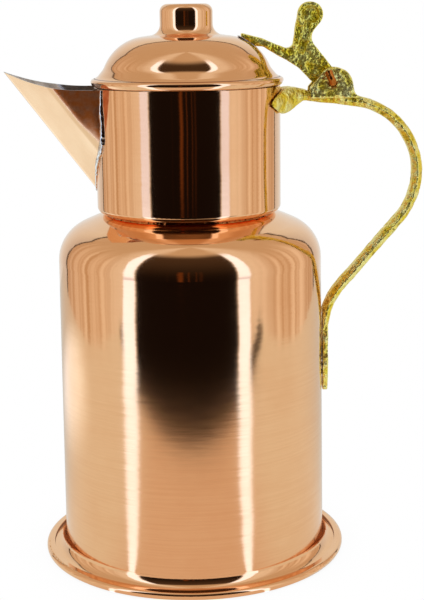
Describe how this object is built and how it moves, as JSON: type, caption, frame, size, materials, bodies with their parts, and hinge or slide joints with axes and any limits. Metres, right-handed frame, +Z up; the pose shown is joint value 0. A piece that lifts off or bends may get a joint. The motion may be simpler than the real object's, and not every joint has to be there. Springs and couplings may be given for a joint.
{
  "type": "copper coffee pot",
  "caption": "Tall cylindrical copper pot with a narrower neck, beak spout, brass strap handle and a domed lid that a thumb lever lifts on a pin hinge.",
  "frame": {"origin": "centre of the flat bottom, on the floor, on the axis of the body", "axes": "+Z up the body's axis, +X towards the handle, -X towards the spout, +Y to the side away from the pin's bent tail"},
  "size_m": [0.1742, 0.1306, 0.234],
  "materials": {
    "copper": null,
    "tin": "wiped tin solder",
    "brass": "rough sand casting, polished edges"
  },
  "bodies": {
    "pot": {"body_shell": "copper", "base_plate": "copper", "neck_shell": "copper", "spout": "copper", "hinge_pin": "copper", "foot_solder": "tin", "neck_solder": "tin", "spout_solder": "tin", "saddle_solder": "tin", "leaf_solder": "tin", "handle": "brass"},
    "lid": {"lid_shell": "copper", "lid_collar": "copper", "collar_solder": "tin", "hinge_lever": "brass", "lever_solder": "tin"}
  },
  "joints": [
    {"name": "lid_hinge", "type": "hinge", "parent": "pot", "child": "lid", "pos_m": [0.0598, 0, 0.20101], "axis": [0, 1, 0], "range_deg": [0, 112]}
  ]
}
